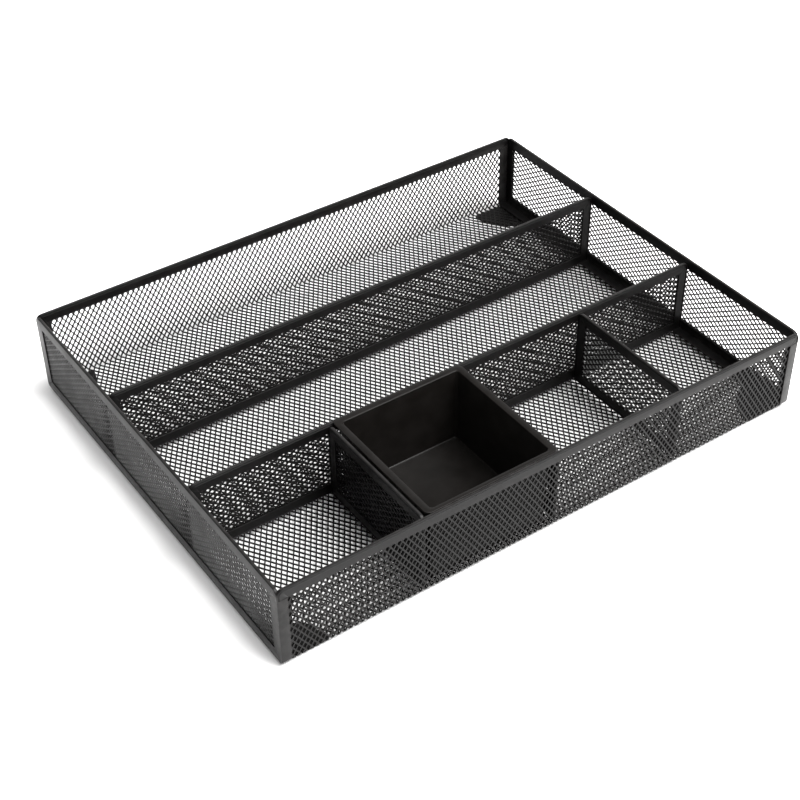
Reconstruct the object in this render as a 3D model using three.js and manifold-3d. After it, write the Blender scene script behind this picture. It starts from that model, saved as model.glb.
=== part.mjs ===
// Drawer organizer insert: a black tray of expanded metal held in folded steel strip, with two long
// dividers, three cross dividers, four rubber corner pads and one lift-out plastic bin.
// Millimetres. Origin at the middle of the underside; +X along the long front edge, +Y to the back, +Z up.

import * as THREE from "three";
import { mergeVertices } from "three/addons/utils/BufferGeometryUtils.js";
import Module from "manifold-3d";

// ---------------------------------------------------------------------------------------------
// Driving dimensions
// ---------------------------------------------------------------------------------------------

const TRAY_LENGTH = 387; // along X, over the side frames
const TRAY_DEPTH = 300; // along Y, over the front and back rims
const TRAY_HEIGHT = 60; // along Z, pads included

const SHEET = 0.8; // expanded metal, flattened
const STRIP = 0.6; // gauge of the folded strip
const SLIP = 0.05; // play between a sheet's edge and the fold that grips it
const SEAT = 0.05; // paint film between pieces that stand against each other

const RAIL = 7.2; // face width of every folded strip
const SKIRT = 6.5; // how far a side frame wraps round onto the front, floor and back
const FRAME_BOTTOM_RADIUS = 3; // outer bend of a side frame at the floor
const FRAME_TOP_RADIUS = 4; // outer bend of a side frame at the rim

const DIVIDER_DROP = 1.2; // divider tops sit this far below the outer rim
const DIVIDER_TOP_RADIUS = 4.5; // bend of a divider strip at its top corners
const DIVIDER_FOOT_RADIUS = 1.5; // bend of a divider strip at its square bottom corners
const MIDDLE_DIVIDER_Y = -49; // centre of the divider behind the small cells
const REAR_DIVIDER_Y = 51; // centre of the divider in front of the rear compartment
const FRONT_CELLS = 4; // equal cells in the front row

const PAD_PROUD = 2.2; // rubber below the steel
const PAD_RADIUS = 32; // quarter disc centred on the tray's corner
const PAD_SIDE_INSET = 2; // pad edge inside the side frame's outer face

const BIN_CELL = 1; // which front cell holds the bin, counted from the left, first is 0
const BIN_WALL = 1.8; // plastic wall
const BIN_BASE = 2.3; // thickness of the bin's floor
const BIN_FOOT = 2.2; // height of the foot ring under that floor
const BIN_FOOT_WIDTH = 2.5; // width of the foot ring
const BIN_FOOT_SET = 0.8; // the foot ring stands this far in from the wall's foot
const BIN_DRAFT = 1.9; // each wall leans in this far from rim to foot
const BIN_FLANGE = 4.6; // width of the rim, from the opening to its edge
const BIN_FRONT_FLANGE = 3; // the rim is narrower along the front
const BIN_FLANGE_THICK = 1;
const BIN_LEFT_GAP = 1.1; // gap between the rim and the cross divider on its left
const BIN_RIGHT_LAP = 1.2; // the rim laps over the cross divider on its right
const BIN_FRONT_GAP = 0.3; // gap between the rim and the front rim's fold
const BIN_BACK_LAP = 0.6; // the rim laps over the middle divider
const BIN_CORNER_RADIUS = 4; // rim corners
const BIN_INSIDE_RADIUS = 2.2; // upright corners of the cavity

const ARC_STEPS = 5; // segments in a quarter turn

// ---------------------------------------------------------------------------------------------
// Sizes that follow from those
// ---------------------------------------------------------------------------------------------

const SLOT = SHEET + 2 * SLIP; // inside width of a fold
const FOLD = SLOT + 2 * STRIP; // thickness of a folded strip
const SHEET_INSET = STRIP + SLIP; // from a fold's outer face to the sheet inside it

const HALF_LENGTH = TRAY_LENGTH / 2;
const HALF_DEPTH = TRAY_DEPTH / 2;
const INNER_X = HALF_LENGTH - FOLD - SEAT; // where the sheet, rims and long dividers end
const FLOOR_UNDER = PAD_PROUD + SHEET_INSET;
const FLOOR_TOP = FLOOR_UNDER + SHEET;
const DIVIDER_TOP = TRAY_HEIGHT - DIVIDER_DROP;
const DIVIDER_FOOT = FLOOR_TOP + SEAT;

// Equal clear widths between the side frames and the cross dividers.
const CELL_CLEAR = (2 * (HALF_LENGTH - FOLD) - (FRONT_CELLS - 1) * FOLD) / FRONT_CELLS;
const crossDividerX = (index) => -HALF_LENGTH + FOLD + (index + 1) * (CELL_CLEAR + FOLD) - FOLD / 2;

// ---------------------------------------------------------------------------------------------
// Solids
// ---------------------------------------------------------------------------------------------

const wasm = await Module();
wasm.setup();

const ALONG_X = new THREE.Matrix4().makeBasis(
  new THREE.Vector3(0, 1, 0),
  new THREE.Vector3(0, 0, 1),
  new THREE.Vector3(1, 0, 0),
);
const ALONG_Y = new THREE.Matrix4().makeBasis(
  new THREE.Vector3(1, 0, 0),
  new THREE.Vector3(0, 0, 1),
  new THREE.Vector3(0, -1, 0),
);
const ALONG_Z = new THREE.Matrix4();

// An outline pushed straight along one axis: drawn in Y and Z for ALONG_X, in X and Z for ALONG_Y
// (which runs towards the front), in X and Y for ALONG_Z. The push starts at `start`.
function extruded(shape, basis, start, depth) {
  const geometry = new THREE.ExtrudeGeometry(shape, {
    depth,
    bevelEnabled: false,
    curveSegments: ARC_STEPS,
  });
  geometry.translate(0, 0, start);
  return geometry.applyMatrix4(basis);
}

function toSolid(geometry) {
  const bare = geometry.index ? geometry.toNonIndexed() : geometry.clone();
  bare.deleteAttribute("normal");
  bare.deleteAttribute("uv");
  const merged = mergeVertices(bare, 1e-4);
  const mesh = new wasm.Mesh({
    numProp: 3,
    vertProperties: merged.attributes.position.array,
    triVerts: new Uint32Array(merged.index.array),
  });
  return new wasm.Manifold(mesh);
}

function toGeometry(solid) {
  const mesh = solid.getMesh();
  const geometry = new THREE.BufferGeometry();
  geometry.setAttribute("position", new THREE.BufferAttribute(mesh.vertProperties, 3));
  geometry.setIndex(new THREE.BufferAttribute(mesh.triVerts, 1));
  const flat = geometry.toNonIndexed();
  flat.computeVertexNormals();
  return flat;
}

// A rectangle with its own bend at each corner. `limits` is [low u, low v, high u, high v];
// `radii` is [low-low, high-low, high-high, low-high]. `inset` draws the same outline further in.
function bentRectangle(limits, radii, inset = 0, Kind = THREE.Shape) {
  const [u0, v0, u1, v1] = [limits[0] + inset, limits[1] + inset, limits[2] - inset, limits[3] - inset];
  const bends = radii.map((radius) => Math.max(radius - inset, 0));
  const centres = [
    [u0 + bends[0], v0 + bends[0]],
    [u1 - bends[1], v0 + bends[1]],
    [u1 - bends[2], v1 - bends[2]],
    [u0 + bends[3], v1 - bends[3]],
  ];
  const path = new Kind();
  path.moveTo(u0, v0 + bends[0]);
  centres.forEach(([u, v], corner) => {
    const from = Math.PI + (corner * Math.PI) / 2;
    if (bends[corner] > 0) path.absarc(u, v, bends[corner], from, from + Math.PI / 2, false);
    else path.lineTo(u, v);
  });
  path.closePath();
  return path;
}

// A panel edged with folded strip: a closed loop of strip, grooved all round inside, and the flat
// sheet that sits in the groove. `start` is the low side of the loop along `basis`.
function foldedLoop(limits, radii, basis, start) {
  const loop = bentRectangle(limits, radii);
  loop.holes.push(bentRectangle(limits, radii, RAIL, THREE.Path));
  const groove = bentRectangle(limits, radii, STRIP);
  const strip = toSolid(extruded(loop, basis, start, FOLD));
  return strip.subtract(toSolid(extruded(groove, basis, start + STRIP, SLOT)));
}

function loopSheet(limits, radii, basis, start) {
  return extruded(bentRectangle(limits, radii, SHEET_INSET), basis, start + SHEET_INSET, SHEET);
}

// ---------------------------------------------------------------------------------------------
// Side frames and their sheets
// ---------------------------------------------------------------------------------------------

const SIDE_LIMITS = [-HALF_DEPTH, PAD_PROUD, HALF_DEPTH, TRAY_HEIGHT];
const SIDE_RADII = [FRAME_BOTTOM_RADIUS, FRAME_BOTTOM_RADIUS, FRAME_TOP_RADIUS, FRAME_TOP_RADIUS];

// A band of one thickness that runs down the front, under the floor and up the back, `inset` in
// from the side frame's outline and level at the top.
function cradle(inset, thickness, top) {
  const low = PAD_PROUD + inset;
  const front = -HALF_DEPTH + inset;
  const outer = FRAME_BOTTOM_RADIUS - inset;
  const inner = outer - thickness;
  const shape = new THREE.Shape();
  shape.moveTo(front, top);
  shape.lineTo(front, low + outer);
  shape.absarc(front + outer, low + outer, outer, Math.PI, 1.5 * Math.PI, false);
  shape.absarc(-front - outer, low + outer, outer, 1.5 * Math.PI, 2 * Math.PI, false);
  shape.lineTo(-front, top);
  shape.lineTo(-front - thickness, top);
  shape.absarc(-front - outer, low + outer, inner, 2 * Math.PI, 1.5 * Math.PI, true);
  shape.absarc(front + outer, low + outer, inner, 1.5 * Math.PI, Math.PI, true);
  shape.lineTo(front + thickness, top);
  shape.closePath();
  return shape;
}

// The left frame; the right one is its mirror image.
function sideFrame() {
  const loop = foldedLoop(SIDE_LIMITS, SIDE_RADII, ALONG_X, -HALF_LENGTH);
  const skirtTop = TRAY_HEIGHT - RAIL - SEAT;
  const skirt = extruded(cradle(0, STRIP, skirtTop), ALONG_X, -HALF_LENGTH, SKIRT);
  return toGeometry(loop.add(toSolid(skirt)));
}

function sideMesh() {
  return loopSheet(SIDE_LIMITS, SIDE_RADII, ALONG_X, -HALF_LENGTH);
}

// ---------------------------------------------------------------------------------------------
// Front wall, floor and back wall in one bent sheet, and the folded rims along its top edges
// ---------------------------------------------------------------------------------------------

function basketSheet() {
  const profile = cradle(SHEET_INSET, SHEET, TRAY_HEIGHT - SHEET_INSET);
  return extruded(profile, ALONG_X, -INNER_X, 2 * INNER_X);
}

// The front rim; the back one is its mirror image.
function longRim() {
  const front = -HALF_DEPTH;
  const low = TRAY_HEIGHT - RAIL;
  const fold = new THREE.Shape();
  fold.moveTo(front, low);
  fold.lineTo(front + STRIP, low);
  fold.lineTo(front + STRIP, TRAY_HEIGHT - STRIP);
  fold.lineTo(front + STRIP + SLOT, TRAY_HEIGHT - STRIP);
  fold.lineTo(front + STRIP + SLOT, low);
  fold.lineTo(front + FOLD, low);
  fold.lineTo(front + FOLD, TRAY_HEIGHT);
  fold.lineTo(front, TRAY_HEIGHT);
  fold.closePath();
  return extruded(fold, ALONG_X, -INNER_X, 2 * INNER_X);
}

// ---------------------------------------------------------------------------------------------
// Dividers
// ---------------------------------------------------------------------------------------------

const LONG_LIMITS = [-INNER_X, DIVIDER_FOOT, INNER_X, DIVIDER_TOP];
const LONG_RADII = [DIVIDER_FOOT_RADIUS, DIVIDER_FOOT_RADIUS, DIVIDER_TOP_RADIUS, DIVIDER_TOP_RADIUS];

// A cross divider's front foot is bent like the sheet it stands in, so it clears the rolled corner.
const CROSS_LIMITS = [
  -HALF_DEPTH + FOLD + SEAT,
  DIVIDER_FOOT,
  MIDDLE_DIVIDER_Y - FOLD / 2 - SEAT,
  DIVIDER_TOP,
];
const CROSS_RADII = [FRAME_BOTTOM_RADIUS, DIVIDER_FOOT_RADIUS, DIVIDER_TOP_RADIUS, DIVIDER_TOP_RADIUS];

// ---------------------------------------------------------------------------------------------
// Lift-out bin
// ---------------------------------------------------------------------------------------------

// A block with upright rounded corners whose sides lean in towards the foot by `lean` in all.
function draftedBlock(limits, radius, low, high, lean) {
  const geometry = extruded(bentRectangle(limits, Array(4).fill(radius)), ALONG_Z, low, high - low);
  const midX = (limits[0] + limits[2]) / 2;
  const midY = (limits[1] + limits[3]) / 2;
  const place = geometry.attributes.position;
  for (let i = 0; i < place.count; i += 1) {
    const shift = (lean * (high - place.getZ(i))) / (high - low);
    place.setX(i, place.getX(i) - Math.sign(place.getX(i) - midX) * shift);
    place.setY(i, place.getY(i) - Math.sign(place.getY(i) - midY) * shift);
  }
  return toSolid(geometry);
}

function bin() {
  const leftDividerFace = crossDividerX(BIN_CELL - 1) + FOLD / 2;
  const rightDividerFace = crossDividerX(BIN_CELL) - FOLD / 2;
  const rim = [
    leftDividerFace + BIN_LEFT_GAP,
    -HALF_DEPTH + FOLD + BIN_FRONT_GAP,
    rightDividerFace + BIN_RIGHT_LAP,
    MIDDLE_DIVIDER_Y - FOLD / 2 + BIN_BACK_LAP,
  ];
  const opening = [rim[0] + BIN_FLANGE, rim[1] + BIN_FRONT_FLANGE, rim[2] - BIN_FLANGE, rim[3] - BIN_FLANGE];
  const around = (by) => [opening[0] - by, opening[1] - by, opening[2] + by, opening[3] + by];
  const foot = FLOOR_TOP + SEAT;
  const baseTop = foot + BIN_FOOT + BIN_BASE;
  const cavityLean = (BIN_DRAFT * (TRAY_HEIGHT - baseTop)) / (TRAY_HEIGHT - foot - BIN_FOOT);

  const wallRadius = BIN_INSIDE_RADIUS + BIN_WALL;
  const wallLow = foot + BIN_FOOT;
  const outside = draftedBlock(around(BIN_WALL), wallRadius, wallLow, TRAY_HEIGHT, BIN_DRAFT);
  const footEdge = BIN_WALL - BIN_DRAFT - BIN_FOOT_SET;
  const footRing = draftedBlock(around(footEdge), wallRadius, foot, wallLow + BIN_BASE / 2, 0);
  const recessLimits = around(footEdge - BIN_FOOT_WIDTH);
  const flangeLow = TRAY_HEIGHT - BIN_FLANGE_THICK;
  const flange = draftedBlock(rim, BIN_CORNER_RADIUS, flangeLow, TRAY_HEIGHT, 0);
  const past = 1; // the cavity's cutter stands this far above the rim, and the recess's below the foot
  const openingAbove = draftedBlock(opening, BIN_INSIDE_RADIUS, TRAY_HEIGHT, TRAY_HEIGHT + past, 0);
  const cavity = draftedBlock(opening, BIN_INSIDE_RADIUS, baseTop, TRAY_HEIGHT, cavityLean);
  const recess = draftedBlock(recessLimits, BIN_INSIDE_RADIUS, foot - past, wallLow, 0);
  const block = outside.add(flange).add(footRing);
  return toGeometry(block.subtract(cavity.add(openingAbove)).subtract(recess));
}

// ---------------------------------------------------------------------------------------------
// Corner pads
// ---------------------------------------------------------------------------------------------

// A quarter disc about the origin in the +X +Y quarter, cut back along both straight sides.
function quarterDisc(insetX, insetY) {
  const startAngle = Math.asin(insetY / PAD_RADIUS);
  const endAngle = Math.acos(insetX / PAD_RADIUS);
  const shape = new THREE.Shape();
  shape.moveTo(insetX, insetY);
  shape.lineTo(PAD_RADIUS * Math.cos(startAngle), insetY);
  shape.absarc(0, 0, PAD_RADIUS, startAngle, endAngle, false);
  shape.closePath();
  return shape;
}

// The pad lies under the side frame's skirt and rises beside it to the sheet's underside.
function cornerPad() {
  const low = quarterDisc(PAD_SIDE_INSET, FRAME_BOTTOM_RADIUS);
  const lowTop = PAD_PROUD - SEAT;
  const raised = quarterDisc(SKIRT + SEAT, FRAME_BOTTOM_RADIUS);
  const sheetUnder = FLOOR_UNDER - SEAT;
  const slab = toSolid(extruded(low, ALONG_Z, 0, lowTop));
  return toGeometry(slab.add(toSolid(extruded(raised, ALONG_Z, 0, sheetUnder))));
}

// ---------------------------------------------------------------------------------------------
// Assembly
// ---------------------------------------------------------------------------------------------

const sheetSteel = () => new THREE.MeshStandardMaterial({ color: 0x2b2a2b, roughness: 0.5, metalness: 0.5 });
const stripSteel = () => new THREE.MeshStandardMaterial({ color: 0x252425, roughness: 0.42, metalness: 0.5 });
const plastic = () => new THREE.MeshStandardMaterial({ color: 0x1c1b1c, roughness: 0.62, metalness: 0 });
const rubber = () => new THREE.MeshStandardMaterial({ color: 0x161616, roughness: 0.9, metalness: 0 });

const organizer = new THREE.Group();
organizer.name = "drawer_organizer_insert";

function add(name, geometry, material, place = {}) {
  const mesh = new THREE.Mesh(geometry, material);
  mesh.name = name;
  mesh.position.set(place.x ?? 0, place.y ?? 0, place.z ?? 0);
  mesh.scale.set(place.flipX ? -1 : 1, place.flipY ? -1 : 1, 1);
  organizer.add(mesh);
}

add("basket_sheet", basketSheet(), sheetSteel());
add("front_rim", longRim(), stripSteel());
add("back_rim", longRim(), stripSteel(), { flipY: true });

for (const [side, flipX] of [["left", false], ["right", true]]) {
  add(`side_frame_${side}`, sideFrame(), stripSteel(), { flipX });
  add(`side_mesh_${side}`, sideMesh(), sheetSteel(), { flipX });
}

for (const [row, y] of [["middle", MIDDLE_DIVIDER_Y], ["rear", REAR_DIVIDER_Y]]) {
  const frame = toGeometry(foldedLoop(LONG_LIMITS, LONG_RADII, ALONG_Y, -FOLD / 2));
  add(`${row}_divider_frame`, frame, stripSteel(), { y });
  add(`${row}_divider_mesh`, loopSheet(LONG_LIMITS, LONG_RADII, ALONG_Y, -FOLD / 2), sheetSteel(), { y });
}

for (let index = 0; index < FRONT_CELLS - 1; index += 1) {
  const frame = toGeometry(foldedLoop(CROSS_LIMITS, CROSS_RADII, ALONG_X, -FOLD / 2));
  const sheet = loopSheet(CROSS_LIMITS, CROSS_RADII, ALONG_X, -FOLD / 2);
  add(`cross_divider_${index + 1}_frame`, frame, stripSteel(), { x: crossDividerX(index) });
  add(`cross_divider_${index + 1}_mesh`, sheet, sheetSteel(), { x: crossDividerX(index) });
}

add("bin", bin(), plastic());

for (const [end, sideY] of [["front", -1], ["back", 1]]) {
  for (const [side, sideX] of [["left", -1], ["right", 1]]) {
    const corner = { x: sideX * HALF_LENGTH, y: sideY * HALF_DEPTH, flipX: sideX > 0, flipY: sideY > 0 };
    add(`corner_pad_${end}_${side}`, cornerPad(), rubber(), corner);
  }
}

export default organizer;
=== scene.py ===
# %% [markdown]
# # Drawer organizer insert
#
# A low black tray for a desk drawer. Its walls and floor are expanded steel sheet, a flat lattice of
# small diamonds. Every edge of the lattice is gripped by a folded steel strip. Two long dividers and
# three short ones stand inside, one small plastic bin lifts out, and four rubber pads sit underneath.
#
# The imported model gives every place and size. This lesson rebuilds each piece over it with the
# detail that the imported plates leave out: the open lattice, the rolled folds and the moulded bin.

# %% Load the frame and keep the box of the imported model
import math

import bmesh
import bpy
from mathutils import Matrix, Vector


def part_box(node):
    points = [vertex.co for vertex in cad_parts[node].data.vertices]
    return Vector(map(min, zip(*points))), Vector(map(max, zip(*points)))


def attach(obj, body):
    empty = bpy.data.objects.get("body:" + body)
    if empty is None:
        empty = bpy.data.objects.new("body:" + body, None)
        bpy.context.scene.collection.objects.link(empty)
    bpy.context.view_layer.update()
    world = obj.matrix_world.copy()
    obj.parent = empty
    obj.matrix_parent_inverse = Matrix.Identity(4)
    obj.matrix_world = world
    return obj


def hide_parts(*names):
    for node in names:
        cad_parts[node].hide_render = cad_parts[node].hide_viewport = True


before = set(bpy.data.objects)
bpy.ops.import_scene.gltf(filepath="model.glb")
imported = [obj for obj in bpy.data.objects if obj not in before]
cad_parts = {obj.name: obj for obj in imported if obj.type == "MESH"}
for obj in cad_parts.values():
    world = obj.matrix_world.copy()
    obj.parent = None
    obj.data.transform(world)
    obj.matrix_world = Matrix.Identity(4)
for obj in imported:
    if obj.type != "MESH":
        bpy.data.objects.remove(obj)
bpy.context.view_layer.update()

# %% [markdown]
# ## Working in millimetres
#
# Sheet metal is dimensioned in millimetres, so the meshes are drawn in millimetres and shrunk to
# metres once, as each one is finished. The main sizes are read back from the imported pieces.

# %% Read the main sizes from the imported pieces
MM = 0.001


def box_mm(node):
    low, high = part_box(node)
    return Vector(low) / MM, Vector(high) / MM


side_low, side_high = box_mm("side_frame_left")
rim_low, rim_high = box_mm("front_rim")
basket_low, basket_high = box_mm("basket_sheet")
HALF_LENGTH = -side_low.x
HALF_DEPTH = -side_low.y
TRAY_TOP = side_high.z
STEEL_FOOT = side_low.z  # the pads hold the steel this far off the drawer
INNER_X = -rim_low.x
RAIL = rim_high.z - rim_low.z  # face width of a folded strip
FOLD = rim_high.y - rim_low.y  # thickness of a folded strip
FLOOR_BEND = 3.0  # outer bend of the strips where a wall meets the floor
CORNER_BEND = 4.0  # outer bend of the rims and the side loops at the top corners
print("tray", 2 * HALF_LENGTH, 2 * HALF_DEPTH, TRAY_TOP, "rail", RAIL, "fold", FOLD)

# %% [markdown]
# ## Finishing a piece
#
# Every piece ends the same way: points that meet are merged, faces turned outwards, the size brought
# to metres, and the object told which body carries it and which finish it has, while the imported
# plate it stands for is hidden. Faces that meet at a shallow angle are shaded smooth, and real edges
# stay crisp.

# %% A helper that turns a drawn mesh into a finished piece
SMOOTH_UP_TO = math.radians(38)
piece_count = {}


def finish_piece(bm, name, body, material, stands_for, merge=0.001):
    if merge:
        bmesh.ops.remove_doubles(bm, verts=bm.verts[:], dist=merge)
    bmesh.ops.recalc_face_normals(bm, faces=bm.faces[:])
    bmesh.ops.scale(bm, vec=(MM, MM, MM), verts=bm.verts[:])
    open_edges = sum(len(edge.link_faces) != 2 for edge in bm.edges)
    mesh = bpy.data.meshes.new(name)
    bm.to_mesh(mesh)
    bm.free()
    mesh.shade_smooth()
    mesh.set_sharp_from_angle(angle=SMOOTH_UP_TO)
    mesh.materials.append(material)
    mesh.calc_loop_triangles()
    piece_count[name] = len(mesh.loop_triangles)
    piece = bpy.data.objects.new(name, mesh)
    bpy.context.scene.collection.objects.link(piece)
    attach(piece, body)
    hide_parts(stands_for)
    print(f"{name}: {piece_count[name]} triangles, {open_edges} open edges")


# %% [markdown]
# ## Finishes
#
# The effects that several finishes share are built once as node groups. *Grain* is the faint
# orange-peel of a baked or moulded skin: it puts out a height for the bump and a value that moves
# the roughness a little. *Rubbed edges and painted sheen* finds the sharp outer edges and lightens
# them, partly as wear, where handling polishes and thins the paint, and partly as a painted sheen
# along them. *Settled dust* is a broken-up mask on the faces that look upwards.

# %% Shared node groups: grain, rubbed edges with a painted sheen, settled dust
def new_group(name, inputs, outputs):
    group = bpy.data.node_groups.new(name, "ShaderNodeTree")
    for label, value in inputs:
        socket = group.interface.new_socket(label, in_out="INPUT", socket_type="NodeSocketFloat")
        socket.default_value = value
    for label in outputs:
        group.interface.new_socket(label, in_out="OUTPUT", socket_type="NodeSocketFloat")
    entry = group.nodes.new("NodeGroupInput")
    exit_node = group.nodes.new("NodeGroupOutput")
    return group, entry, exit_node


def node(tree, kind, **settings):
    made = tree.nodes.new(kind)
    for key, value in settings.items():
        setattr(made, key, value)
    return made


def maths(tree, operation, first, second, clamp=False):
    made = node(tree, "ShaderNodeMath", operation=operation, use_clamp=clamp)
    for index, value in enumerate((first, second)):
        if hasattr(value, "is_output"):
            tree.links.new(value, made.inputs[index])
        else:
            made.inputs[index].default_value = value
    return made.outputs[0]


def spread(tree, value, low, high, to_low=0.0, to_high=1.0):
    made = node(tree, "ShaderNodeMapRange", interpolation_type="SMOOTHSTEP")
    tree.links.new(value, made.inputs["Value"])
    for label, number in zip(("From Min", "From Max", "To Min", "To Max"), (low, high, to_low, to_high)):
        made.inputs[label].default_value = number
    return made.outputs["Result"]


def grain_group():
    scales = [("Fine Scale", 2600.0), ("Broad Scale", 90.0)]
    group, entry, out = new_group("Grain", scales, ["Height", "Cloud"])
    place = node(group, "ShaderNodeTexCoord")
    fine = node(group, "ShaderNodeTexNoise")
    fine.inputs["Detail"].default_value = 3.0
    fine.inputs["Roughness"].default_value = 0.6
    broad = node(group, "ShaderNodeTexNoise")
    broad.inputs["Detail"].default_value = 4.0
    for texture, label in ((fine, "Fine Scale"), (broad, "Broad Scale")):
        group.links.new(place.outputs["Object"], texture.inputs["Vector"])
        group.links.new(entry.outputs[label], texture.inputs["Scale"])
    group.links.new(fine.outputs["Fac"], out.inputs["Height"])
    group.links.new(spread(group, broad.outputs["Fac"], 0.3, 0.7), out.inputs["Cloud"])
    return group


def rubbed_and_sheen_group():
    # sharp outer edges come out lighter: partly wear where the paint is rubbed thin, partly a painted
    # sheen
    group, entry, out = new_group("Rubbed edges and painted sheen", [("Start", 0.53), ("Full", 0.62)], ["Mask"])
    shape = node(group, "ShaderNodeNewGeometry")
    place = node(group, "ShaderNodeTexCoord")
    patches = node(group, "ShaderNodeTexNoise")
    patches.inputs["Scale"].default_value = 160.0
    patches.inputs["Detail"].default_value = 5.0
    group.links.new(place.outputs["Object"], patches.inputs["Vector"])
    sharp = node(group, "ShaderNodeMapRange", interpolation_type="SMOOTHSTEP")
    group.links.new(shape.outputs["Pointiness"], sharp.inputs["Value"])
    group.links.new(entry.outputs["Start"], sharp.inputs["From Min"])
    group.links.new(entry.outputs["Full"], sharp.inputs["From Max"])
    broken = spread(group, patches.outputs["Fac"], 0.35, 0.65, 0.35, 1.0)
    group.links.new(maths(group, "MULTIPLY", sharp.outputs["Result"], broken), out.inputs["Mask"])
    return group


def dust_group():
    group, entry, out = new_group("Settled dust", [("Amount", 0.2)], ["Mask"])
    shape = node(group, "ShaderNodeNewGeometry")
    place = node(group, "ShaderNodeTexCoord")
    specks = node(group, "ShaderNodeTexNoise")
    specks.inputs["Scale"].default_value = 420.0
    specks.inputs["Detail"].default_value = 6.0
    group.links.new(place.outputs["Object"], specks.inputs["Vector"])
    axis = node(group, "ShaderNodeSeparateXYZ")
    group.links.new(shape.outputs["Normal"], axis.inputs[0])
    upward = spread(group, axis.outputs["Z"], 0.5, 1.0)
    broken = spread(group, specks.outputs["Fac"], 0.45, 0.75)
    dusty = maths(group, "MULTIPLY", upward, broken)
    group.links.new(maths(group, "MULTIPLY", dusty, entry.outputs["Amount"]), out.inputs["Mask"])
    return group


GRAIN = grain_group()
RUBBED_AND_SHEEN = rubbed_and_sheen_group()
DUST = dust_group()

# %% [markdown]
# The four finishes differ only in their numbers. Black powder coat on the strips has a soft satin
# sheen, the same coat on the lattice is a little rougher because it builds up on the thin strands,
# the bin is moulded plastic with the finest grain and the pads are dull rubber. Each finish mixes
# its own colour with a slightly lighter one over clouds and dust, so that no two spots are quite the
# same, and with a lighter one on sharp edges, which is partly wear and partly a painted sheen.

# %% One recipe, four finishes
DUST_GREY = (0.28, 0.27, 0.26)
POLISH = -0.08  # what rubbing takes off the roughness where it is strongest


def finish(name, dark, light, rub_and_sheen, roughness, roughness_swing, grain_size, grain_depth, dust, specular):
    material = bpy.data.materials.new(name)
    material.use_nodes = True
    tree = material.node_tree
    shader = tree.nodes["Principled BSDF"]
    grain = node(tree, "ShaderNodeGroup", node_tree=GRAIN)
    grain.inputs["Fine Scale"].default_value = 1.0 / (grain_size * MM)
    rubbed_and_sheen = node(tree, "ShaderNodeGroup", node_tree=RUBBED_AND_SHEEN)
    settled = node(tree, "ShaderNodeGroup", node_tree=DUST)
    settled.inputs["Amount"].default_value = dust

    def blend(share, first, second):
        mix = node(tree, "ShaderNodeMix", data_type="RGBA")
        tree.links.new(share, mix.inputs["Factor"])
        for label, value in (("A", first), ("B", second)):
            socket = [s for s in mix.inputs if s.name == label and s.type == "RGBA"][0]
            if hasattr(value, "is_output"):
                tree.links.new(value, socket)
            else:
                socket.default_value = (*value, 1.0)
        return [s for s in mix.outputs if s.type == "RGBA"][0]

    clouded = blend(grain.outputs["Cloud"], dark, light)
    # sharp edges take the rub colour: partly wear on the paint, partly a painted sheen
    worn_and_sheen = blend(rubbed_and_sheen.outputs["Mask"], clouded, rub_and_sheen)
    dusty = blend(settled.outputs["Mask"], worn_and_sheen, DUST_GREY)
    tree.links.new(dusty, shader.inputs["Base Color"])
    swing = maths(tree, "MULTIPLY_ADD", grain.outputs["Cloud"], roughness_swing)
    swing.node.inputs[2].default_value = roughness
    polished = maths(tree, "MULTIPLY", rubbed_and_sheen.outputs["Mask"], POLISH)
    tree.links.new(maths(tree, "ADD", swing, polished, clamp=True), shader.inputs["Roughness"])
    bump = node(tree, "ShaderNodeBump")
    bump.inputs["Strength"].default_value = 1.0
    bump.inputs["Distance"].default_value = grain_depth * MM
    tree.links.new(grain.outputs["Height"], bump.inputs["Height"])
    tree.links.new(bump.outputs["Normal"], shader.inputs["Normal"])
    shader.inputs["Specular IOR Level"].default_value = specular
    return material


# colours: own tone, lighter cloud tone, then the rub colour of sharp edges, partly wear and partly a
# painted sheen
strip_coat = finish("Black powder coat on strip", (0.0022, 0.002, 0.002), (0.0046, 0.0042, 0.0042),
                    (0.02, 0.019, 0.0185), 0.34, 0.08, 0.35, 0.01, 0.002, specular=0.14)
lattice_coat = finish("Black powder coat on lattice", (0.0022, 0.002, 0.0019), (0.0046, 0.0042, 0.004),
                      (0.01, 0.0095, 0.009), 0.38, 0.1, 0.3, 0.012, 0.003, specular=0.16)
bin_plastic = finish("Black moulded plastic", (0.0037, 0.0032, 0.0028), (0.0054, 0.0047, 0.0042),
                     (0.011, 0.0098, 0.009), 0.32, 0.06, 0.22, 0.014, 0.002, specular=0.13)
pad_rubber = finish("Black rubber", (0.003, 0.003, 0.0028), (0.005, 0.0048, 0.0046),
                    (0.01, 0.0095, 0.009), 0.78, 0.12, 0.5, 0.03, 0.008, specular=0.2)
print("finishes:", [m.name for m in (strip_coat, lattice_coat, bin_plastic, pad_rubber)])

# %% [markdown]
# ## The expanded lattice
#
# Expanded steel is slit and stretched, so it is one sheet with diamond holes and no crossing wires.
# The same thing can be drawn from a plain grid: poke the middle of every square, dissolve the grid's
# own lines, and what is left is a net of diamonds. Each diamond is inset by half a strand, its middle
# removed, and the net given its thickness. The trims come while the net is still flat and thin,
# because a cut across a solid strand would leave it open.

# %% Draw a flat net of diamonds between two limits
SHORT_WAY = 4.0  # one diamond across
LONG_WAY = 6.06  # one diamond along
STRAND = 0.86  # width of one strand
LATTICE_THICK = 0.7
SPARE_CELLS = 3  # more than fit, trimmed off


def everything(bm):
    return bm.verts[:] + bm.edges[:] + bm.faces[:]


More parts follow.
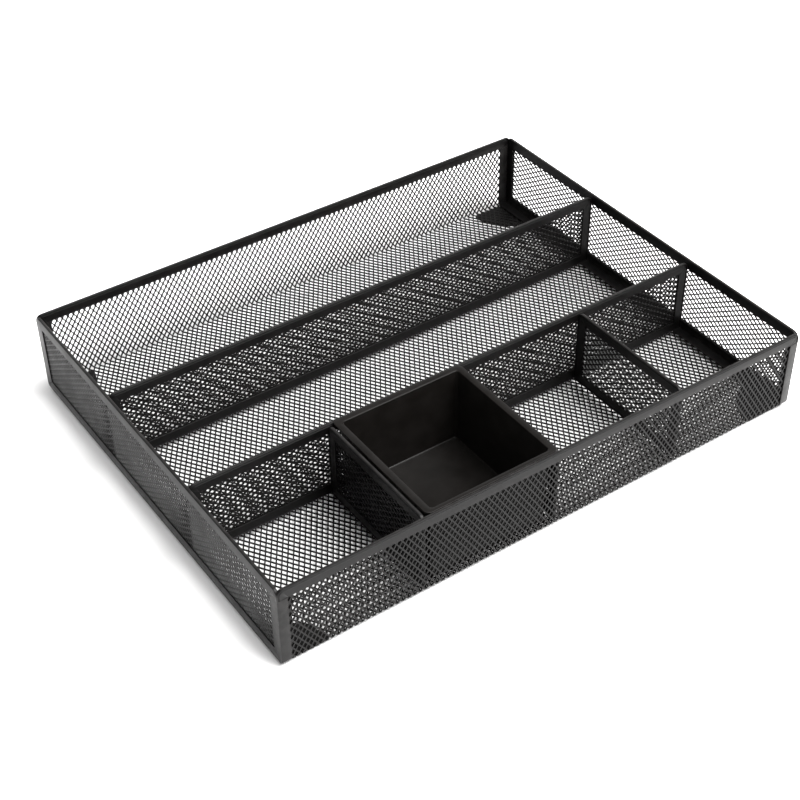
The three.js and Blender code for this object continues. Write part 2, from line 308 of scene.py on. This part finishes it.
def diamond_net(low, high, long_along_v, cuts=(), scores=(), shift=0.0):
    """A flat net in X and Y from `low` to `high`; `cuts` are planes whose far side is removed."""
    step = Vector((SHORT_WAY, LONG_WAY)) if long_along_v else Vector((LONG_WAY, SHORT_WAY))
    count = [math.ceil((high[i] - low[i]) / step[i]) + SPARE_CELLS for i in (0, 1)]
    centre = [(low[i] + high[i]) / 2 for i in (0, 1)]
    bm = bmesh.new()
    bmesh.ops.create_grid(bm, x_segments=count[0], y_segments=count[1], size=0.5)
    bmesh.ops.scale(bm, vec=(count[0] * step[0], count[1] * step[1], 1), verts=bm.verts[:])
    bmesh.ops.translate(bm, vec=(centre[0], centre[1] + shift, 0), verts=bm.verts[:])
    grid_lines = [edge for edge in bm.edges if len(edge.link_faces) == 2]
    bmesh.ops.poke(bm, faces=bm.faces[:])
    bmesh.ops.dissolve_edges(bm, edges=grid_lines, use_verts=False)
    diamonds = bm.faces[:]
    bmesh.ops.inset_individual(bm, faces=diamonds, thickness=STRAND / 2, use_even_offset=True)
    bmesh.ops.delete(bm, geom=diamonds, context="FACES")
    sides = [((low[0], 0), (-1, 0)), ((high[0], 0), (1, 0)),
             ((0, low[1]), (0, -1)), ((0, high[1]), (0, 1))]
    for point, away in sides + list(cuts):
        bmesh.ops.bisect_plane(bm, geom=everything(bm), plane_co=(*point, 0), plane_no=(*away, 0),
                               clear_outer=True)
    for v in scores:
        bmesh.ops.bisect_plane(bm, geom=everything(bm), plane_co=(0, v, 0), plane_no=(0, 1, 0))
    bmesh.ops.solidify(bm, geom=bm.faces[:], thickness=LATTICE_THICK)
    heights = [vert.co.z for vert in bm.verts]
    middle = (min(heights) + max(heights)) / 2
    bmesh.ops.translate(bm, vec=(0, 0, -middle), verts=bm.verts[:])
    return bm


# %% [markdown]
# ### Front wall, floor and back wall
#
# These three are one sheet, folded up along a tight crease at the front and the back. The net is
# drawn flat, with scores across the two creases so that the strands can follow the bend, and then
# every point is carried from its place on the flat blank to its place on the bent one. The creases
# hang a little lower than the floor. The sheet is cut in three under the long dividers, which hide
# the seams, and this keeps each piece light.

# %% Fold the blank into a basket
SHEET_INSET = basket_low.y + HALF_DEPTH  # from the outer face of a fold to the sheet in it
SHEET_MIDDLE = SHEET_INSET + 0.4  # the same, to the middle of the sheet
SHEET_DROP = 0.65  # how much lower the creases hang than the floor
DROP_RUN = 25.0  # the floor rises out of a crease over this distance
WALL_TOP = basket_high.z
BEND_RADIUS = 0.9  # to the middle of the sheet
BEND_CENTRE_Y = HALF_DEPTH - SHEET_MIDDLE - BEND_RADIUS
BEND_CENTRE_Z = STEEL_FOOT + SHEET_MIDDLE - SHEET_DROP + BEND_RADIUS
WALL_LENGTH = WALL_TOP - BEND_CENTRE_Z
BEND_LENGTH = BEND_RADIUS * math.pi / 2
HALF_BLANK = BEND_CENTRE_Y + BEND_LENGTH + WALL_LENGTH


def onto_basket(bm):
    for vert in bm.verts:
        x, v, lift = vert.co
        side = 1 if v > 0 else -1
        run = abs(v) - BEND_CENTRE_Y
        if run <= 0:
            raised = SHEET_DROP * min(-run / DROP_RUN, 1)
            vert.co = (x, v, BEND_CENTRE_Z - BEND_RADIUS + raised + lift)
        elif run <= BEND_LENGTH:
            turn = run / BEND_RADIUS
            reach = BEND_RADIUS - lift
            y, z = BEND_CENTRE_Y + reach * math.sin(turn), BEND_CENTRE_Z - reach * math.cos(turn)
            vert.co = (x, side * y, z)
        else:
            vert.co = (x, side * (BEND_CENTRE_Y + BEND_RADIUS - lift), BEND_CENTRE_Z + run - BEND_LENGTH)


BEND_PARTS = 4
BEND_SCORES = [BEND_CENTRE_Y + BEND_LENGTH * k / BEND_PARTS for k in range(BEND_PARTS + 1)]
divider_y = [sum(box_mm(f"{row}_divider_mesh")[i].y for i in (0, 1)) / 2 for row in ("middle", "rear")]
seams = [-HALF_BLANK, divider_y[0], divider_y[1], HALF_BLANK]
for part, (start, end) in zip(("front", "middle", "back"), zip(seams, seams[1:])):
    scores = [s * k for k in BEND_SCORES for s in (-1, 1) if start < s * k < end]
    # every part starts on the same whole number of diamonds, so the pattern runs on across the seams
    middle = (start + end) / 2
    cells = math.ceil((end - start) / LONG_WAY) + SPARE_CELLS
    off = (cells % 2) * LONG_WAY / 2
    shift = round((middle - off) / LONG_WAY) * LONG_WAY + off - middle
    net = diamond_net((-INNER_X, start), (INNER_X, end), True, scores=scores, shift=shift)
    onto_basket(net)
    finish_piece(net, f"basket_lattice_{part}", "tray", lattice_coat, "basket_sheet",
                 merge=0)

# %% [markdown]
# ### Side walls and dividers
#
# These are flat panels. Their corners are cut off at 45 degrees, well inside the strip that covers
# them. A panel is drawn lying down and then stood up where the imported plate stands.

# %% Stand the flat panels up
CORNER_CUT, TOP_CUT = 4.6, 2.4  # measured along the diagonal
ALONG_Y = Matrix(((0, 0, 1), (1, 0, 0), (0, 1, 0))).to_4x4()  # drawn X to Y, drawn Y to Z
ALONG_X = Matrix(((1, 0, 0), (0, 0, -1), (0, 1, 0))).to_4x4()  # drawn X to X, drawn Y to Z


def panel(node_name, turn, across, corner_cuts, mesh_name, shift=0.0):
    low, high = box_mm(node_name)
    flat_low, flat_high = (low[across], low.z), (high[across], high.z)
    cuts = []
    for u_side, v_side, depth in corner_cuts:
        corner = (flat_high[0] if u_side > 0 else flat_low[0],
                  flat_high[1] if v_side > 0 else flat_low[1])
        inward = depth / math.sqrt(2)
        cuts.append(((corner[0] - u_side * inward, corner[1] - v_side * inward), (u_side, v_side)))
    net = diamond_net(flat_low, flat_high, False, cuts=cuts, shift=shift)
    bmesh.ops.transform(net, matrix=turn, verts=net.verts[:])
    other = 1 - across
    stand = Vector((0, 0, 0))
    stand[other] = (low[other] + high[other]) / 2
    bmesh.ops.translate(net, vec=stand, verts=net.verts[:])
    finish_piece(net, mesh_name, "tray", lattice_coat, node_name, merge=0)


ALL_CORNERS = [(u, v, CORNER_CUT) for u in (-1, 1) for v in (-1, 1)]
TOP_CORNERS = [(u, 1, TOP_CUT) for u in (-1, 1)]
for side in ("left", "right"):
    panel(f"side_mesh_{side}", ALONG_Y, 1, ALL_CORNERS, f"side_lattice_{side}", shift=SHORT_WAY / 4)
for row in ("middle", "rear"):
    panel(f"{row}_divider_mesh", ALONG_X, 0, TOP_CORNERS, f"{row}_divider_lattice")
for index in (1, 2, 3):
    panel(f"cross_divider_{index}_mesh", ALONG_Y, 1, TOP_CORNERS + [(-1, -1, CORNER_CUT)],
          f"cross_divider_{index}_lattice")

# %% [markdown]
# ## The folded strips
#
# Each edge of the lattice is closed by a strip folded over it, like a spine on a sheet of paper. In
# section it is a narrow U. On the rims and dividers the two legs are pressed together below the fold,
# which leaves a small bead along the top and a thin dark line under it. The section is written as
# depth from the folded edge and height either side of the sheet.

# %% The section of a folded strip
ROUND = 0.32  # radius of the folded edge
CROWN_TURNS = (0, 0.52, 1.05, math.pi / 2)
SLOT_HALF = 0.43  # half the room for the sheet inside the fold
SLOT_TOP = 0.8  # depth at which that room starts
LEG_EDGE = 0.12  # small bevel where a leg ends
PRESSED = 0.16  # each leg of a beaded strip is pressed in by this
BEAD = ((0.85, 0.0), (1.0, 0.45), (1.5, 0.45), (1.7, PRESSED))  # depth, how far pressed in


def half_section(beaded):
    """From the fold's crown to the leg's end and back up inside, on one side of the sheet."""
    half = FOLD / 2
    leg = half - (PRESSED if beaded else 0.0)
    crown = [(ROUND - ROUND * math.cos(a), half - ROUND + ROUND * math.sin(a)) for a in CROWN_TURNS]
    shoulder = [(depth, half - inward) for depth, inward in BEAD] if beaded else []
    leg_end = [(RAIL - LEG_EDGE, leg), (RAIL, leg - LEG_EDGE), (RAIL, SLOT_HALF), (SLOT_TOP, SLOT_HALF)]
    return crown + shoulder + leg_end


def fold_section(beaded):
    one = half_section(beaded)
    return one + [(d, -h) for d, h in reversed(one)]


print("section points:", len(fold_section(True)), "beaded,", len(fold_section(False)), "plain")

# %% [markdown]
# ### Closed loops
#
# A side frame or a divider frame is a strip bent round a panel. Each point of the section traces its
# own ring round the panel, a rectangle with rounded corners, smaller the deeper the point lies. The
# rings are made one by one with a bevel on the four corners and bridged to their neighbours.

# %% Rings of a rounded rectangle, and a loop bridged from them
BEND_STEPS = 6
SHARPEST = 0.03  # an inner corner is never quite a point, so every ring has as many points


def ring(bm, limits, radii, height):
    """A closed ring of edges: a rectangle [u0, v0, u1, v1] whose four corners are bevelled round."""
    u0, v0, u1, v1 = limits
    square = bmesh.ops.create_grid(bm, x_segments=1, y_segments=1, size=0.5)["verts"]
    bmesh.ops.scale(bm, vec=(u1 - u0, v1 - v0, 1), verts=square)
    bmesh.ops.translate(bm, vec=((u0 + u1) / 2, (v0 + v1) / 2, 0), verts=square)
    corners = [(u0, v0), (u1, v0), (u1, v1), (u0, v1)]
    for corner, radius in zip(corners, radii):
        bm.faces.ensure_lookup_table()
        vert = min(bm.faces[-1].verts, key=lambda v: (v.co.xy - Vector(corner)).length)
        bmesh.ops.bevel(bm, geom=[vert], offset=max(radius, SHARPEST), offset_type="OFFSET",
                        segments=BEND_STEPS, profile=0.5, affect="VERTICES", material=-1)
    bm.faces.ensure_lookup_table()
    face = bm.faces[-1]
    edges = face.edges[:]
    bmesh.ops.translate(bm, vec=(0, 0, height), verts=face.verts[:])
    bmesh.ops.delete(bm, geom=[face], context="FACES_ONLY")
    return edges


PULLED_APART = 20.0  # between rings while they are bridged


def grown(limits, by):
    return (limits[0] - by, limits[1] - by, limits[2] + by, limits[3] + by)


def bridged_rings(rows, closed=True):
    """One ring for each row of (limits, height, four corner radii), bridged in order. The rings are
    bridged pulled well apart, where neighbours can't be mistaken, and then pushed to their heights."""
    bm = bmesh.new()
    rings = [ring(bm, limits, radii, k * PULLED_APART) for k, (limits, _, radii) in enumerate(rows)]
    for one, other in zip(rings, rings[1:] + rings[:1] if closed else rings[1:]):
        bmesh.ops.bridge_loops(bm, edges=one + other)
    for k, (edges, row) in enumerate(zip(rings, rows)):
        verts = list({vert for edge in edges for vert in edge.verts})
        bmesh.ops.translate(bm, vec=(0, 0, row[1] - k * PULLED_APART), verts=verts)
    if not closed:
        for edges in (rings[0], rings[-1]):
            bmesh.ops.contextual_create(bm, geom=edges)
    return bm


def strip_loop(section, limits, radii, turn):
    rows = [(grown(limits, -depth), height, [radius - depth for radius in radii])
            for depth, height in section]
    bm = bridged_rings(rows)
    bmesh.ops.transform(bm, matrix=turn, verts=bm.verts[:])
    return bm


# %% Side frames: the closed loop round each side panel
PLAIN, BEADED = fold_section(False), fold_section(True)
STRIP = 0.6  # gauge of the strip
SET_BACK = STRIP + 0.02  # the edge strip passes in front of the side frame
FACE_GAP = 0.03  # the loop's outer face lies this far inside the tray's end
side_limits = (-HALF_DEPTH + SET_BACK, STEEL_FOOT + SET_BACK, HALF_DEPTH - SET_BACK, TRAY_TOP)
side_radii = (FLOOR_BEND - SET_BACK, FLOOR_BEND - SET_BACK, CORNER_BEND, CORNER_BEND)
for side, sign in (("left", -1), ("right", 1)):
    loop = strip_loop(PLAIN, side_limits, side_radii, ALONG_Y)
    bmesh.ops.translate(loop, vec=(sign * (HALF_LENGTH - FOLD / 2 - FACE_GAP), 0, 0),
                        verts=loop.verts[:])
    finish_piece(loop, f"side_loop_{side}", "tray", strip_coat, f"side_frame_{side}")

# %% Divider frames
DIVIDER_FOOT, DIVIDER_TOP = 1.5, 4.5  # bends at the bottom and the top corners
for row in ("middle", "rear"):
    low, high = box_mm(f"{row}_divider_frame")
    limits = (low.x, low.z, high.x, high.z)
    loop = strip_loop(BEADED, limits, (DIVIDER_FOOT, DIVIDER_FOOT, DIVIDER_TOP, DIVIDER_TOP), ALONG_X)
    bmesh.ops.translate(loop, vec=(0, (low.y + high.y) / 2, 0), verts=loop.verts[:])
    finish_piece(loop, f"{row}_divider_strip", "tray", strip_coat, f"{row}_divider_frame")
for index in (1, 2, 3):
    low, high = box_mm(f"cross_divider_{index}_frame")
    limits = (low.y, low.z, high.y, high.z)
    loop = strip_loop(BEADED, limits, (FLOOR_BEND, DIVIDER_FOOT, DIVIDER_TOP, DIVIDER_TOP), ALONG_Y)
    bmesh.ops.translate(loop, vec=((low.x + high.x) / 2, 0, 0), verts=loop.verts[:])
    finish_piece(loop, f"cross_divider_{index}_strip", "tray", strip_coat,
                 f"cross_divider_{index}_frame")

# %% [markdown]
# ### The strip round the basket
#
# The basket's edge has a strip too. Each rim turns both top corners on a small bend, and from there
# an edge strip goes down the front post, under the floor and up the back post. A rim is the top of a
# closed loop, cut off at the posts and its cuts filled. An edge strip is a U as well, but its outer
# leg starts further out, over the side frame's edge, so it has a section of its own and is swept:
# a straight extrusion, or a spin about the centre of the bend.

# %% Sweep a section along straights and bends
VERT, EDGE = bmesh.types.BMVert, bmesh.types.BMEdge


def of_kind(geom, *kinds):
    return [g for g in geom if isinstance(g, kinds)]


def section_start(bm, profile, place):
    verts = [bm.verts.new(place @ Vector((d, h, 0))) for d, h in profile]
    edges = [bm.edges.new((verts[k], verts[(k + 1) % len(verts)])) for k in range(len(verts))]
    bmesh.ops.contextual_create(bm, geom=edges)
    return verts + edges


def straight(bm, geom, move):
    made = bmesh.ops.extrude_edge_only(bm, edges=of_kind(geom, EDGE))["geom"]
    bmesh.ops.translate(bm, vec=move, verts=of_kind(made, VERT))
    return of_kind(made, VERT, EDGE)


def bend(bm, geom, centre, axis, angle):
    kept = of_kind(geom, VERT, EDGE)
    return bmesh.ops.spin(bm, geom=kept, cent=centre, axis=axis, dvec=(0, 0, 0), angle=angle,
                          steps=BEND_STEPS, use_merge=False, use_duplicate=False)["geom_last"]


def close_end(bm, geom):
    bmesh.ops.contextual_create(bm, geom=of_kind(geom, EDGE))


# %% Front and back rims, turned down at both ends
POST_TOP = TRAY_TOP - RAIL
BELOW = 40.0  # the loop reaches this far down before it is cut
OVERLAP = 0.02  # the rim's ends reach this far into the posts
rim_limits = (-HALF_LENGTH, TRAY_TOP - BELOW, HALF_LENGTH, TRAY_TOP)
for name, sign in (("front_rim", -1), ("back_rim", 1)):
    bm = strip_loop(BEADED, rim_limits, (0, 0, CORNER_BEND, CORNER_BEND), ALONG_X)
    cut = bmesh.ops.bisect_plane(bm, geom=everything(bm), plane_co=(0, 0, POST_TOP - OVERLAP),
                                 plane_no=(0, 0, -1), clear_outer=True)["geom_cut"]
    bmesh.ops.holes_fill(bm, edges=of_kind(cut, EDGE))
    bmesh.ops.translate(bm, vec=(0, sign * (HALF_DEPTH - FOLD / 2), 0), verts=bm.verts[:])
    finish_piece(bm, f"{name}_strip", "tray", strip_coat, name)

# %% Edge strips: down the front post, under the floor, up the back post
TURN_Y, TURN_Z = HALF_DEPTH - FLOOR_BEND, STEEL_FOOT + FLOOR_BEND
POST_WIDTH = 6.6  # outer leg, over the side frame's edge
half = FOLD / 2
SPINE = FOLD + 0.05  # the middle of the U stands just past the side frame
SPINE_BACK = FOLD + 0.7
INNER_END = FOLD + RAIL
edge_section = [  # depth from the tray's end, height out from the middle of the sheet
    (0.0, half - 0.42), (LEG_EDGE, half - LEG_EDGE), (0.42, half),
    (POST_WIDTH - LEG_EDGE, half), (POST_WIDTH, half - LEG_EDGE), (POST_WIDTH, SLOT_HALF),
    (SPINE_BACK, SLOT_HALF), (SPINE_BACK, -SLOT_HALF), (INNER_END, -SLOT_HALF),
    (INNER_END, LEG_EDGE - half), (INNER_END - LEG_EDGE, -half), (FOLD + 0.3, -half),
    (SPINE, 0.3 - half), (SPINE, half - STRIP), (0.0, half - STRIP),
]
for side, sign in (("left", -1), ("right", 1)):
    bm = bmesh.new()
    place = Matrix(((-sign, 0, 0, sign * HALF_LENGTH), (0, -1, 0, -HALF_DEPTH + half),
                    (0, 0, 1, POST_TOP), (0, 0, 0, 1)))
    end = section_start(bm, edge_section, place)
    end = straight(bm, end, (0, 0, TURN_Z - POST_TOP))
    end = bend(bm, end, (0, -TURN_Y, TURN_Z), (1, 0, 0), math.pi / 2)
    end = straight(bm, end, (0, 2 * TURN_Y, 0))
    end = bend(bm, end, (0, TURN_Y, TURN_Z), (1, 0, 0), math.pi / 2)
    end = straight(bm, end, (0, 0, POST_TOP - TURN_Z))
    close_end(bm, end)
    finish_piece(bm, f"edge_strip_{side}", "tray", strip_coat, f"side_frame_{side}")

# %% [markdown]
# ## The lift-out bin
#
# The bin is injection moulded: walls that lean in so that it leaves the mould, a flat rim to lift it
# by, narrower along the front, a small fillet round the floor and a foot ring underneath. It is made
# like the loops, from rings of a rounded rectangle, one for each change of direction, walked from
# the middle of the inner floor up, over the rim, down outside and in under the base. Two faces close
# the two ends.

# %% Mould the bin
low, high = box_mm("bin")
foot_z, top_z = low.z, high.z
base_top = foot_z + 4.5  # foot ring and floor together
FLANGE, FRONT_FLANGE = 4.6, 3.0  # width of the rim
rim = (low.x, low.y, high.x, high.y)
mouth = (low.x + FLANGE, low.y + FRONT_FLANGE, high.x - FLANGE, high.y - FLANGE)
bin_rows = [  # which outline, how much bigger, height, corner radius
    (mouth, -3.4, base_top, 1.0), (mouth, -2.4, base_top + 0.06, 1.2),
    (mouth, -2.0, base_top + 0.3, 1.5), (mouth, -1.8, base_top + 0.8, 1.8),  # fillet
    (mouth, -0.12, top_z - 0.5, 2.2), (mouth, 0.0, top_z - 0.15, 2.3), (mouth, 0.25, top_z, 2.5),
    (rim, -0.3, top_z, 3.7), (rim, -0.08, top_z - 0.08, 3.9), (rim, 0.0, top_z - 0.3, 4.0),
    (rim, 0.0, top_z - 0.8, 4.0), (rim, -0.15, top_z - 1.0, 3.9),  # round the edge of the rim
    (mouth, 1.8, top_z - 1.0, 4.0), (mouth, 0.0, foot_z + 3.0, 3.8),  # down the outside
    (mouth, -0.15, foot_z + 2.5, 3.6), (mouth, -0.5, foot_z + 2.25, 3.3),
    (mouth, -0.85, foot_z + 2.2, 3.2), (mouth, -0.9, foot_z + 0.3, 3.2),  # in to the foot ring
    (mouth, -1.2, foot_z, 3.0), (mouth, -3.1, foot_z, 2.2),
    (mouth, -3.4, foot_z + 0.3, 2.0), (mouth, -3.4, foot_z + 2.2, 2.0),  # up inside the ring
]
bm = bridged_rings([(grown(outline, by), z, [radius] * 4) for outline, by, z, radius in bin_rows],
                   closed=False)
finish_piece(bm, "lift_out_bin", "bin", bin_plastic, "bin")

# %% [markdown]
# ## Corner pads
#
# Four soft pads keep the steel off the drawer. Each is a quarter disc centred on the tray's corner.
# A disc is cut down to its quarter with two planes and given its height. Past the edge strip its top
# is raised to the lattice, and its edges are softened.

# %% Cut and round the four pads
PAD_RADIUS = 32.0
PAD_EDGE = 0.3  # bevel
PAD_PLAY = 0.05  # between the pad and the strip over it
STEP_IN = 9.4  # past the edge strip's inner leg
SHARP = 1.0  # radians; an edge that turns more than this is softened
for end_name, sign_y in (("front", -1), ("back", 1)):
    for side, sign_x in (("left", -1), ("right", 1)):
        node_name = f"corner_pad_{end_name}_{side}"
        low, high = box_mm(node_name)
        corner = (sign_x * HALF_LENGTH, sign_y * HALF_DEPTH)
        bm = bmesh.new()
        bmesh.ops.create_circle(bm, cap_ends=True, segments=128, radius=PAD_RADIUS)
        bmesh.ops.translate(bm, vec=(*corner, low.z), verts=bm.verts[:])
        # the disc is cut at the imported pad's outer sides, a little inside the tray's own
        edge_x = low.x if sign_x < 0 else high.x
        edge_y = low.y if sign_y < 0 else high.y
        for point, away in (((edge_x, 0), (sign_x, 0)), ((0, edge_y), (0, sign_y))):
            bmesh.ops.bisect_plane(bm, geom=everything(bm), plane_co=(*point, 0), plane_no=(*away, 0),
                                   clear_outer=True)
        made = bmesh.ops.extrude_face_region(bm, geom=bm.faces[:])["geom"]
        bmesh.ops.translate(bm, vec=(0, 0, STEEL_FOOT - PAD_PLAY - low.z), verts=of_kind(made, VERT))
        # inside the edge strip the pad rises to the lattice
        step_x = sign_x * (HALF_LENGTH - STEP_IN)
        bmesh.ops.bisect_plane(bm, geom=everything(bm), plane_co=(step_x, 0, 0), plane_no=(1, 0, 0))
        top = [f for f in bm.faces if f.calc_center_median().z > STEEL_FOOT - 2 * PAD_PLAY
               and abs(f.calc_center_median().x) < HALF_LENGTH - STEP_IN]
        raised = bmesh.ops.extrude_face_region(bm, geom=top)["geom"]
        bmesh.ops.delete(bm, geom=top, context="FACES")
        bmesh.ops.translate(bm, vec=(0, 0, high.z - STEEL_FOOT + PAD_PLAY), verts=of_kind(raised, VERT))
        bmesh.ops.recalc_face_normals(bm, faces=bm.faces[:])
        rims = [e for e in bm.edges if e.calc_face_angle(0) > SHARP]
        bmesh.ops.bevel(bm, geom=rims, offset=PAD_EDGE, offset_type="OFFSET", segments=3, profile=0.5,
                        affect="EDGES", material=-1)
        finish_piece(bm, f"{node_name}_rubber", "tray", pad_rubber, node_name)

# %% [markdown]
# ## Floor, light and camera
#
# The tray stands on a white floor under soft light. The key is large and stands high at the front
# right, so the shadow falls to the left. The room above is dimmer than the room low down behind,
# which is why the flat tops of the strips stay dark and only the far rim catches light.

# %% Floor
bm = bmesh.new()
bmesh.ops.create_grid(bm, x_segments=1, y_segments=1, size=6.0)
floor_mesh = bpy.data.meshes.new("floor")
bm.to_mesh(floor_mesh)
bm.free()
floor = bpy.data.objects.new("floor", floor_mesh)
bpy.context.scene.collection.objects.link(floor)
white = bpy.data.materials.new("White paper")
white.use_nodes = True
paper = white.node_tree.nodes["Principled BSDF"]
paper.inputs["Base Color"].default_value = (0.93, 0.925, 0.92, 1)
paper.inputs["Roughness"].default_value = 0.9
paper.inputs["Specular IOR Level"].default_value = 0.1
floor_mesh.materials.append(white)

# %% Light
key = bpy.data.lights.new("key", "AREA")
key.shape = "RECTANGLE"
key.size, key.size_y = 1.9, 1.9
key.energy = 190
lamp = bpy.data.objects.new("key", key)
lamp.location = (0.7, -0.8, 2.15)
lamp.rotation_euler = (-lamp.location).to_track_quat("-Z", "Y").to_euler()
bpy.context.scene.collection.objects.link(lamp)

world = bpy.data.worlds.new("Studio")
world.use_nodes = True
tree = world.node_tree
direction = node(tree, "ShaderNodeTexCoord")
axis = node(tree, "ShaderNodeSeparateXYZ")
tree.links.new(direction.outputs["Generated"], axis.inputs[0])
shade = node(tree, "ShaderNodeValToRGB")  # by the height of the direction, 1 being straight up
low_down, above = shade.color_ramp.elements
low_down.position, low_down.color = 0.5, (1.0, 1.0, 1.0, 1)
above.position, above.color = 0.62, (0.28, 0.28, 0.285, 1)
tree.links.new(axis.outputs["Z"], shade.inputs[0])
tree.links.new(shade.outputs[0], tree.nodes["Background"].inputs["Color"])
tree.nodes["Background"].inputs["Strength"].default_value = 1.15
bpy.context.scene.world = world
bpy.context.scene.view_settings.view_transform = "Standard"

# %% [markdown]
# The camera looks down at about forty degrees from the front left, with a lens long enough to keep
# the far rim nearly as long as the near one.

# %% Camera
camera_data = bpy.data.cameras.new("camera")
camera_data.lens = 71.4
camera_data.sensor_width = 36.0
camera = bpy.data.objects.new("camera", camera_data)
yaw, pitch, roll = math.radians(-34.18), math.radians(39.85), math.radians(-0.87)
forward = Vector((-math.sin(yaw) * math.cos(pitch), math.cos(yaw) * math.cos(pitch), -math.sin(pitch)))
right = Vector((math.cos(yaw), math.sin(yaw), 0))
up = right.cross(forward)
tilted_right = right * math.cos(roll) + up * math.sin(roll)
tilted_up = up * math.cos(roll) - right * math.sin(roll)
camera.matrix_world = Matrix.Translation((-0.4624, -0.6649, 0.6732)) @ Matrix(
    (tilted_right, tilted_up, -forward)).transposed().to_4x4()
bpy.context.scene.collection.objects.link(camera)
bpy.context.scene.camera = camera

# %% [markdown]
# ## Triangle count
#
# The last step prints how many triangles the pieces have in all.

# %% Count the triangles
print("triangles in all:", sum(piece_count.values()))
